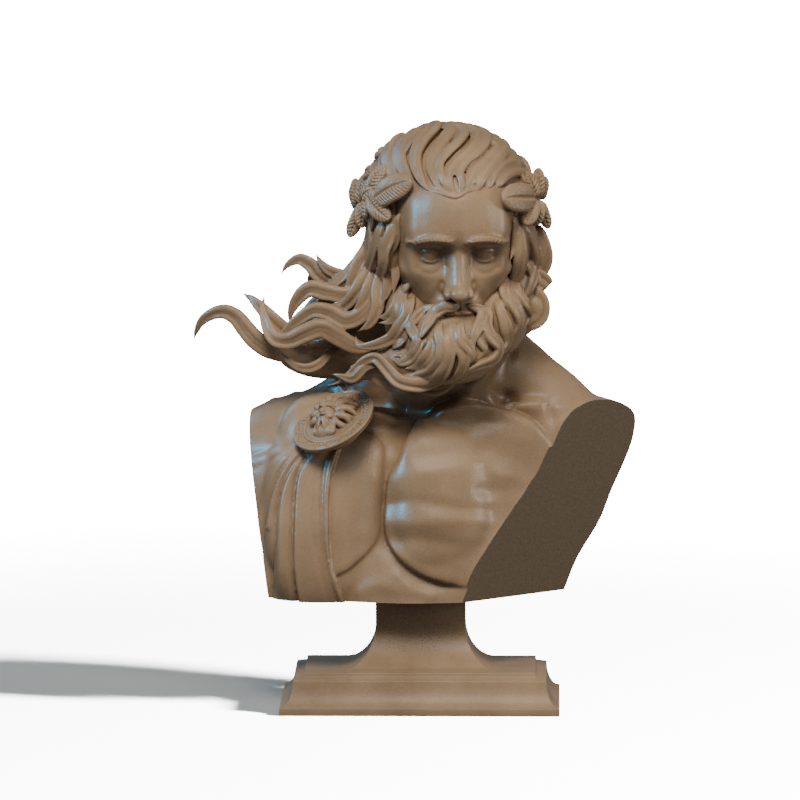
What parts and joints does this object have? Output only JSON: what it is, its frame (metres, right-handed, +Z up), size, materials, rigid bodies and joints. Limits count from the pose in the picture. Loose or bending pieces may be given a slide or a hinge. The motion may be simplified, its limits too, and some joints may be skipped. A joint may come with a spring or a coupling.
{
  "type": "classical bust",
  "caption": "Cast bust of a bearded, laurel-crowned classical god with wind-blown hair and a pinned cloak, on a moulded socle.",
  "frame": {"origin": "centre of the socle's underside, on the surface it stands on", "axes": "+Z up, the socle's front towards -Y, +X to the right of someone who faces the bust"},
  "size_m": [0.221, 0.12, 0.294],
  "materials": {
    "cast_resin": "satin, finely grained"
  },
  "bodies": {
    "root": {"bust": "cast_resin", "socle": "cast_resin"}
  },
  "joints": []
}
